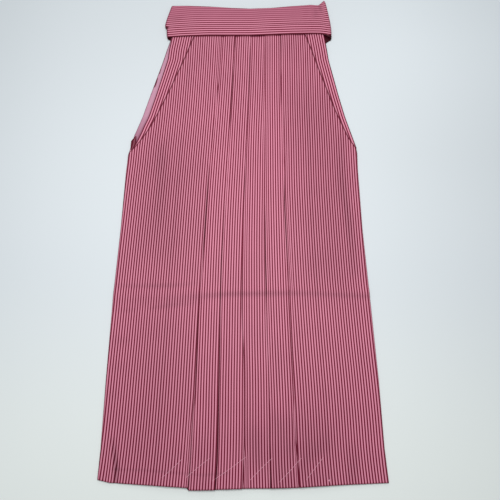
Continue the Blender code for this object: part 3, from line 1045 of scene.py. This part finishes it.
# %% The back
BACK_TOP = 930.0
BACK_INSET = 0.8
BACK_CREASES = (
    (((-120, 700), (-110, 560), (-118, 420)), 14, 0.35),
    (((90, 640), (100, 480), (94, 330)), 12, 0.3),
    (((-30, 300), (-24, 180), (-34, 60)), 12, 0.3),
    (((160, 240), (150, 130), (156, 30)), 14, 0.3),
)
BACK_COLUMNS = {0: 24, 3: 13, 5: 24}
HALF_WIDTH = 244.0


def back_side(heights, side):
    """One side of the back: the front's edge up to the openings, then its own."""
    own = heights > BACK_EDGES[0, 0]
    edge = np.where(own, side_line(BACK_EDGES, heights, side), side_line(FRONT_EDGES, heights, side))
    return (edge - side * BACK_INSET)[:, None]


def back_sheet():
    """The back as a grid, and its map."""
    heights = np.concatenate((ROWS[ROWS < PANEL_TOP - 1.0][::2], (PANEL_TOP, BACK_TOP)))
    left, right = back_side(heights, -1), back_side(heights, 1)
    x = left + (right - left) * np.linspace(0.0, 1.0, sum(BACK_COLUMNS.values()))
    bands = np.repeat(list(BACK_COLUMNS), list(BACK_COLUMNS.values()))
    hem = np.stack([hem_height(band, x[:, column]) for column, band in enumerate(bands)], axis=1)
    up = heights[:, None]
    y = up + (hem + 2.0 * HIDDEN_HEM) * np.clip(1.0 - up / HEM_FADE, 0.0, 1.0)
    z = CLOTH / 2 + waist_lift(up) + crease_height(BACK_CREASES, x, y)
    lean = sideways(np.minimum(heights, PANEL_TOP), 2)[:, None] * x / HALF_WIDTH
    return stacked(x, y, z), stacked(x - lean, up)


back_grid, back_map = back_sheet()
# Painted shade on the back beside the facing, above the foot of the opening.
beside_facing = fading(back_grid[..., 0] - back_grid[:, :1, 0], 9.0) * (back_grid[..., 1] > OPENING_FOOT)
back = make_sheet("back", back_grid, back_map, STRIPED, CLOTH, pressed=0.8 * beside_facing)
cover(back, "back_panel")

# %% [markdown]
# ## Strips and facing beside the openings
# Beside each opening a folded strip of the striped cloth runs up to the belt. Its stripes follow its outer
# fold, so they lean, and the slanting edge of the front cuts across them. On the left a lilac facing shows
# outside the strip.

# %% Strips and facing
STRIP_THICK = 0.8
STRIP_SHARES = np.concatenate(((0.0, 0.02, 0.06), np.linspace(0.12, 1.0, 33)))
STRIP_PAINTED_SHADE = 0.85
STRIP_PITCH, STRIP_START = 1.08, 0.8
STRIP_WAVES = (31.0, 83.0)
FACING_TUCK, FACING_INSET = 8.0, 1.2
FACING_FOOT, FACING_MIDDLE = 642.0, 680.0
FACING_STEPS = np.array((
    (745, 0), (776, 0.2), (780, 3), (799, 2.2), (803, 0.3), (811, 0.3), (814, 2.2), (830, 0.5),
))
STRIP_ROWS = stations(ROW_RUNS, 632.0)
FACING_ROWS = np.union1d(stations(ROW_RUNS, FACING_FOOT), FACING_STEPS[:, 0])


def narrow_sheet(heights, outer, inner, level, thick, wave):
    """A long narrow piece between two lines, with a rounded outer edge and a slight wave."""
    x = outer[:, None] + (inner - outer)[:, None] * STRIP_SHARES
    middle = level * LAYER + WALL - thick / 2 + waist_lift(heights)
    rise = wave * np.sin(heights / STRIP_WAVES[0]) * np.sin(heights / STRIP_WAVES[1] + 1.0)
    z = middle[:, None] + rise[:, None] * np.sin(math.pi * STRIP_SHARES) - 0.25 * fading(STRIP_SHARES, 0.1)
    slant = np.gradient(outer, heights)[:, None]
    across = np.abs(x - outer[:, None]) / np.sqrt(1.0 + slant**2)
    up = heights[:, None]
    weights = 0.4 + 0.6 * ease(STRIP_SHARES / 0.06)
    return stacked(x, up, z), stacked(across / STRIP_PITCH - STRIP_START, up), weights


def add_strip(name, node, side, level):
    """A folded strip beside an opening."""
    outer = side_line(STRIP_EDGES, STRIP_ROWS, side)
    front_edge = side_line(FRONT_EDGES, STRIP_ROWS, side)
    inner = front_edge - side * STRIP_TUCK
    grid, cloth_map, weights = narrow_sheet(STRIP_ROWS, outer, inner, level, STRIP_THICK, 0.25)
    across = (cloth_map[..., 0] + STRIP_START) * STRIP_PITCH
    outside = side * (grid[..., 0] - front_edge[:, None])
    # Painted shade on the strip's outer fold, and a painted shadow just outside the front's slanting edge.
    pressed = np.maximum(STRIP_PAINTED_SHADE * fading(across, 2.0), 0.3 * fading(outside, 1.8))
    strip = make_sheet(name, grid, cloth_map, STRIPED, STRIP_THICK, weights, pressed=pressed)
    cover(strip, node)


add_strip("left_side_strip", "side_strip_left", -1, 2)
add_strip("right_side_strip", "side_strip_right", 1, 1)

strip_edge = line(STRIP_EDGES, FACING_ROWS, 1)
facing_outer = line(BACK_EDGES, FACING_ROWS, 1) + BACK_INSET + FACING_INSET
facing_outer += line(FACING_STEPS, FACING_ROWS, 1)
grid, cloth_map, weights = narrow_sheet(FACING_ROWS, facing_outer, strip_edge + FACING_TUCK, 1, CLOTH, 0.2)
# Painted shade on the facing: towards the strip, towards its foot and along its outer edge.
shade = 0.55 * fading(strip_edge[:, None] - grid[..., 0], 5.0)
shade = shade * (1.0 - 0.6 * ease((FACING_ROWS - FACING_MIDDLE) / 120.0))[:, None]
shade += 0.5 * fading(FACING_ROWS - FACING_FOOT, 90.0)[:, None]
shade += 0.2 * fading(grid[..., 0] - facing_outer[:, None], 2.5)
facing = make_sheet("left_opening_facing", grid, cloth_map, PLAIN, CLOTH, weights, pressed=shade)
cover(facing, "opening_facing_left")

# %% [markdown]
# ## The rolled end at the foot of the left opening
# A short end of the striped cloth sticks out where the opening starts. It is rolled up on itself. A loop
# lays flat rings along its line, each with its own width and twist, and joins them.

# %% Rolled end
ROLL = np.array((
    (628, -232, 1.2, 0.4, 0),
    (630.5, -231.4, 2.8, 0.7, 5),
    (634, -230.4, 4.3, 0.85, 8),
    (638.5, -229.6, 5, 0.95, -2),
    (643, -229, 5.6, 1, -6),
    (648, -229, 5.7, 1, 2),
    (652, -227.8, 4.4, 0.9, 6),
    (656, -226, 2.6, 0.7, 4),
    (659.5, -225.2, 1.2, 0.45, 0),
))
ROLL_MIDDLE = LAYER + 1.4
ROLL_SCALLOP = 0.12
ROLL_PAINTED_SHADE = 0.55
ROLL_TURN = np.linspace(0.0, 2.0 * math.pi, 25)
ROLL_HOLLOW = np.abs(np.sin(2.5 * ROLL_TURN))


def roll_grid():
    """Rings along the rolled end, each closed on itself, with a scalloped outline like turns of cloth."""
    y, x, half_width, half_thick, twist = ROLL.T[:, :, None]
    swell = 1.0 - ROLL_SCALLOP * ROLL_HOLLOW
    along, up = half_width * np.cos(ROLL_TURN) * swell, half_thick * np.sin(ROLL_TURN) * swell
    tilt = np.radians(twist)
    points_x = x + along * np.cos(tilt) - up * np.sin(tilt)
    points_z = ROLL_MIDDLE + along * np.sin(tilt) + up * np.cos(tilt)
    return stacked(points_x, y, points_z), stacked(ROLL_TURN * 2.0, y)


# Painted shade on the rolled end, deepest in the hollows between its turns.
marks = {"pressed": ROLL_PAINTED_SHADE + (1.0 - ROLL_PAINTED_SHADE) * ROLL_HOLLOW}
mesh = make_mesh("rolled_end", *roll_grid(), marks, STRIPED)
roll = new_piece("rolled_end", mesh)
bpy.ops.object.mode_set(mode="EDIT")
bpy.ops.mesh.select_all(action="SELECT")
bpy.ops.mesh.remove_doubles(threshold=0.00001)
bpy.ops.mesh.select_all(action="DESELECT")
bpy.ops.mesh.select_non_manifold()
bpy.ops.mesh.edge_face_add()
bpy.ops.mesh.select_all(action="SELECT")
bpy.ops.mesh.normals_make_consistent(inside=False)
bpy.ops.object.mode_set(mode="OBJECT")
bpy.ops.object.shade_smooth()
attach(roll, "root")
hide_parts("opening_end_left")
print("rolled end has", len(mesh.polygons), "faces")

# %% [markdown]
# ## The front belt
# The belt is a wide doubled band with its stripes running along it. It crosses the front, turns round both
# sides of the waist and ends behind. The same tables as the fixed model's say where it lies, and this one
# has many more points, a soft fold along it and small waves.

# %% Lines of the belt
BELT_WALL = 1.4
BELT_THICK = 1.1
BELT_LINE = np.array((
    (-172, 904, 992), (-140, 906, 992), (-80, 908, 989.5), (-30, 908, 985.5), (12, 908, 983.6),
    (60, 910, 985.5), (110, 912.5, 991), (150, 914, 995), (166, 914, 993.6), (168.5, 914, 994.5),
    (173, 913, 999), (178, 911, 1004), (181.5, 909, 1008), (188, 905, 1005.5),
))
BELT_REST = np.array(((-172, 5.7), (-124, 6.9), (104, 6.9), (140, 5.9), (186, 5.2)))
BELT_ROWS = np.array((
    (0, 0.6, -171, 192.6),
    (0.05, 0.2, -172.6, 193.4),
    (0.13, 0, -174, 193.6),
    (0.27, -0.4, -174.2, 193.6),
    (0.31, 0, -175.6, 193.4),
    (0.34, 1, -178.2, 193.2),
    (0.42, 0.8, -178.6, 192.6),
    (0.62, 1.3, -175.4, 190),
    (0.82, 2, -171, 187),
    (0.94, 2.3, -168.4, 184.8),
    (1, 2.6, -167.2, 183.6),
))
BELT_LOWEST_REST = 3.5
BELT_TURN_WIDTH = 3.0
BELT_FOOT_LEFT = (901.0, 990.0)
BELT_FOOT_RIGHT = (899.0, 1002.0)
BELT_FOOT_INSET = 4.0
BELT_BEHIND_LEFT = ((-158.0, 892.0, 986.0), (-142.0, 886.0, 981.0), (-32.0, 884.0, 976.0))
BELT_BEHIND_RIGHT = ((175.0, 888.0, 990.0), (161.0, 885.0, 982.0), (32.0, 884.0, 976.0))
BELT_SHARES = np.concatenate(((0.0, 0.006, 0.02), np.linspace(0.05, 0.95, 31), (0.98, 0.994, 1.0)))
BELT_FRONT_SHARES = np.concatenate((np.linspace(0.0, 0.9, 91), np.linspace(0.9, 1.0, 21)[1:]))
BELT_TURN_ANGLES = np.linspace(-75.0, 75.0, 11)
BELT_PITCH = 1.16
FIRST_STRIPE = 3.9
print("belt from", BELT_LINE[0, 0], "to", BELT_LINE[-1, 0], "mm")

# %% Creases of the belt
BELT_CREASES = (
    (((-178, 936), (-90, 936.5), (0, 936), (110, 936.5), (190, 936)), 2.6, 0.5),
    (((169, 998), (171.6, 988), (173.5, 975)), 3.4, -0.55),
    (((128, 992), (134, 975), (131, 958)), 5, 0.7),
    (((146, 992), (150, 974), (147, 955)), 5, 0.8),
    (((139, 990), (143, 972), (140, 956)), 3.5, -0.2),
    (((158, 990), (161, 972), (158, 958)), 5, -0.3),
    (((-120, 975), (-60, 968), (-10, 972)), 10, 0.5),
    (((-20, 925), (40, 920), (90, 926)), 8, 0.35),
    (((30, 975), (60, 966), (100, 972)), 9, 0.4),
    (((-168, 960), (-150, 955), (-140, 962)), 7, -0.2),
)


def belt_turn(side, turn_x, front, share, foot, behind):
    """The run behind the waist and the half turn that joins it to the front run."""
    rows = ((turn_x - side * BELT_FOOT_INSET, *foot), *behind)
    flat = [(x, lower + (upper - lower) * share, BELT_THICK / 2) for x, lower, upper in rows]
    center = turn_x - side * (BELT_WALL / 2 + BELT_TURN_WIDTH)
    outer = BELT_TURN_WIDTH + (BELT_WALL - BELT_THICK) / 2
    turn = np.radians(BELT_TURN_ANGLES)
    rise = (1.0 + np.sin(turn)) / 2
    points = np.stack((
        center + side * outer * np.cos(turn),
        flat[0][1] + (front[1] - flat[0][1]) * rise,
        flat[0][2] + (front[2] - flat[0][2]) * rise,
    ), axis=-1)
    return np.concatenate((np.array(flat[::-1]), points))


def belt_line(share):
    """The belt at one share of its width: from behind on the left, over the front, to behind on the right."""
    drop, left_turn, right_turn = (line(BELT_ROWS, share, part) for part in (1, 2, 3))
    room = BELT_WALL / 2 + BELT_TURN_WIDTH
    x = left_turn + room + (right_turn - left_turn - 2.0 * room) * BELT_FRONT_SHARES
    lower, upper = (line(BELT_LINE, x, part) for part in (1, 2))
    rest = np.maximum(BELT_LOWEST_REST, line(BELT_REST, x, 1) - drop)
    front = stacked(x, lower + (upper - lower) * share, rest + BELT_WALL - BELT_THICK / 2)
    left = belt_turn(-1, left_turn, front[0], share, BELT_FOOT_LEFT, BELT_BEHIND_LEFT)
    right = belt_turn(1, right_turn, front[-1], share, BELT_FOOT_RIGHT, BELT_BEHIND_RIGHT)
    return np.concatenate((left, front, right[::-1]))


belt_grid = np.stack([belt_line(share) for share in BELT_SHARES])
belt_x = belt_grid[..., 0].copy()
print("belt grid", belt_grid.shape[0], "by", belt_grid.shape[1])

# %% Map of the front belt
LOOP_START, LOOP_FOOT, LOOP_FOLLOW = 150.0, 914.0, 0.3
WAVY_MIDDLE, WAVY_WIDTH = 148.0, 15.0
shares = BELT_SHARES[:, None]


def wave(size, length, start, rise, turn=0.0):
    """A small wave of the stripes, above a share of the belt's width."""
    return size * np.sin(belt_x / length + turn * shares) * ease((shares - start) / rise)


run = np.cumsum(np.linalg.norm(np.diff(belt_grid, axis=1, prepend=belt_grid[:, :1]), axis=2), axis=1)
lower_edge = line(BELT_LINE, belt_x, 1)
followed = LOOP_FOOT + LOOP_FOLLOW * (lower_edge - LOOP_FOOT)
above_edge = belt_grid[..., 1] - np.where(belt_x > LOOP_START, followed, lower_edge)
waves = wave(1.1, 4.6, 0.42, 0.2) * bell(belt_x - WAVY_MIDDLE, WAVY_WIDTH) + wave(0.5, 23.0, 0.35, 0.3, 4.0)
across = (above_edge - FIRST_STRIPE + waves) / BELT_PITCH + 0.5 * STRIPE_PITCH / MM
belt_map = stacked(across, run)
print("belt is", round(float(run.max())), "mm long as built")

# %% Painted shade on the belt, and where it is rubbed
LEFT_TURN_PAINTED_SHADE, RIGHT_TURN_PAINTED_SHADE = 0.45, 0.2
LEFT_LOOP_PAINTED_SHADE, RIGHT_LOOP_PAINTED_SHADE = 1.6, 0.9
LOOP_INSIDE, RUBBED_END = 165.0, 168.0
behind = len(BELT_BEHIND_LEFT) + 1
turned = behind + len(BELT_TURN_ANGLES)

# Painted soft shade in the belt's crease valleys and inside the right loop.
belt_painted_soft_shade = np.zeros(belt_x.shape)
belt_painted_soft_shade[:, turned:-turned] = creased(belt_grid[:, turned:-turned], BELT_CREASES)
inside_loop = ease((-0.2 - above_edge) / 0.8) * (belt_x > LOOP_INSIDE)
belt_painted_soft_shade += inside_loop
# Painted shadow inside the right loop and along the lower edge, and painted shade along the top edge.
belt_pressed = inside_loop + 0.95 * fading(shares, 0.035) + 0.35 * ease((shares - 0.985) / 0.015)
# Painted shade on both turns and inside both loops, darkest at the left, and in the notch of the left turn.
belt_pressed[:, behind:turned] += LEFT_TURN_PAINTED_SHADE
belt_pressed[:, -turned:-behind] += RIGHT_TURN_PAINTED_SHADE
lower_part = fading(shares - 0.22, 0.1)
belt_pressed[:, behind - 2:behind + 4] += LEFT_LOOP_PAINTED_SHADE * lower_part
belt_pressed[:, -behind - 4:-behind + 2] += RIGHT_LOOP_PAINTED_SHADE * lower_part
belt_pressed[:, behind:turned + 1] += bell(shares - 0.3, 0.025)
belt_rubbed = 0.65 * ease((shares - 0.3) / 0.55) * fading(belt_x - RUBBED_END, 8.0)
print("belt is pressed hardest by", round(float(belt_pressed.max()), 2))

# %% The front belt
weights = 0.35 + 0.65 * ease(np.minimum(shares, 1.0 - shares) / 0.02)
marks = {"pressed": belt_pressed, "rubbed": belt_rubbed, "painted_soft_shade": belt_painted_soft_shade}
belt = make_sheet("front_belt_cloth", belt_grid, belt_map, BELT_CLOTH, BELT_THICK, weights, **marks)
cover(belt, "front_belt")

# %% [markdown]
# ## The back belt
# The back has a belt of its own, sewn to its top edge. It lies under the front belt, plain and flat.

# %% The back belt
BACK_BELT_TOP = 983.0
BACK_BELT_LEFT, BACK_BELT_RIGHT = -156.0, 168.0
SEAM_GAP = 0.3


x = np.linspace(BACK_BELT_LEFT, BACK_BELT_RIGHT, 60)
y = np.linspace(BACK_TOP + SEAM_GAP, BACK_BELT_TOP, 12)[:, None]
grid = stacked(x, y, WAIST_LIFT + BELT_THICK / 2)
back_belt = make_sheet("back_belt_cloth", grid, stacked(y, x), BELT_CLOTH, BELT_THICK)
cover(back_belt, "back_belt")

# %% [markdown]
# ## Basting stitches
# Long slanting stitches of white thread still hold the pleats at the hem. Each is a thin tube that lies on
# the cloth and goes into it at both ends. A ray cast straight down finds the cloth under each point.

# %% Basting stitches
THREAD_RADIUS = 0.2
STITCH_POINTS = 22
STITCHES = (
    ((-136.9, 13.4), (-101.7, 44.9)),
    ((-97.2, 13.4), (-55.1, 45.9)),
    ((-53.2, 8.5), (6.6, 47.9)),
    ((10.9, 10), (50.9, 46.4)),
    ((59.8, 6.9), (100.3, 46.4)),
    ((105.2, 10), (137.8, 47.9)),
)
ABOVE = 100.0


def cloth_top(x, y):
    """Height of the front's upper side under a point, in millimetres."""
    start = Vector(placed((x, y, ABOVE)))
    hit, place, _, _ = front.ray_cast(start, Vector((0.0, 0.0, -1.0)))
    return (place.z - ORIGIN[2]) / MM if hit else 0.0


def stitch_path(start, end, bow):
    """Points along a stitch, a little bowed, which dip into the cloth at both ends."""
    start, end = np.array(start), np.array(end)
    normal = np.array((start[1] - end[1], end[0] - start[0])) / np.linalg.norm(end - start)
    points = []
    for share in np.linspace(0.0, 1.0, STITCH_POINTS):
        x, y = start + (end - start) * share + normal * bow * math.sin(math.pi * share)
        sink = 0.9 * (1.0 - ease(min(share, 1.0 - share) / 0.06))
        points.append((x, y, cloth_top(x, y) + THREAD_RADIUS * 0.8 - sink))
    return points


def thread_piece(name, paths):
    """Thin tubes along paths, joined into one mesh."""
    curve = bpy.data.curves.new(name, "CURVE")
    curve.dimensions = "3D"
    curve.bevel_depth = THREAD_RADIUS * MM
    curve.bevel_resolution = 2
    curve.use_fill_caps = True
    for path in paths:
        spline = curve.splines.new("POLY")
        spline.points.add(len(path) - 1)
        for point, place in zip(spline.points, placed(path)):
            point.co = (*place, 1.0)
    piece = new_piece(name, curve)
    bpy.ops.object.convert(target="MESH")
    piece = bpy.context.object
    piece.data.materials.append(THREAD)
    bpy.ops.object.shade_smooth()
    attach(piece, "root")
    print(name, "has", len(piece.data.polygons), "faces")


BOWS = (-0.4, 0.5)
thread_piece("basting_stitches", [stitch_path(*ends, BOWS[index % 2]) for index, ends in enumerate(STITCHES)])

# %% Knot at the end of the basting
KNOT_PLACE = (144.4, 10.8)
KNOT_RADIUS = 0.85
KNOT_TAIL = ((0.6, -0.8), (1.2, -2.2), (1.5, -3.8))


def knot_path():
    """Two tight turns of thread, and a short tail that lies on the cloth."""
    top = cloth_top(*KNOT_PLACE)
    points = []
    for step in range(28):
        turn = 2.0 * math.pi * step / 14
        radius = KNOT_RADIUS * (1.0 - 0.25 * math.sin(turn * 0.5))
        x = KNOT_PLACE[0] + radius * math.cos(turn)
        y = KNOT_PLACE[1] + radius * math.sin(turn)
        points.append((x, y, top + THREAD_RADIUS + 0.3 * step / 14))
    for dx, dy in KNOT_TAIL:
        x, y = KNOT_PLACE[0] + dx, KNOT_PLACE[1] + dy
        points.append((x, y, cloth_top(x, y) + THREAD_RADIUS))
    return points


thread_piece("basting_knot", [knot_path()])

# %% [markdown]
# ## Floor
# The garment lies on a plain pale surface. It is only the stage.

# %% Floor
FLOOR_SIZE = 6.0
NEAR_COLOR = (0.715, 0.755, 0.735, 1.0)
FAR_COLOR = (0.595, 0.635, 0.66, 1.0)
FLOOR_DROP = 0.0002

bpy.ops.object.select_all(action="DESELECT")
bpy.ops.mesh.primitive_plane_add(size=FLOOR_SIZE, location=(0.0, 0.0, -FLOOR_DROP))
floor = bpy.context.object
floor.name = "floor"
board = Finish("pale_board", 0.7, 0.0)
spot = board.node("ShaderNodeTexCoord", {}, {}, output=3)
across, up = board.split(spot)
# Painted light: the floor's colour is darker away from the camera and a little darker to the right, and
# lighter in the far right corner, to offset uneven light so the floor looks evenly bright.
far = board.ramp(up + (board.noise(spot, 3.0) - 0.5) * 0.05, -0.55, -0.1)
far_right = board.ramp(across, 0.05, 0.4) * board.ramp(up, 0.08, 0.42)
tone = 1.05 - board.ramp(across, -0.48, -0.12) * 0.06 + far_right * 0.12
board.wear("Base Color", board.shade(board.mix(far, NEAR_COLOR, FAR_COLOR), tone))
floor.data.materials.append(board.material)
print("floor is", FLOOR_SIZE, "m wide")

# %% [markdown]
# ## Size
# The cloth must stay inside the fixed model's box, but for a few millimetres.
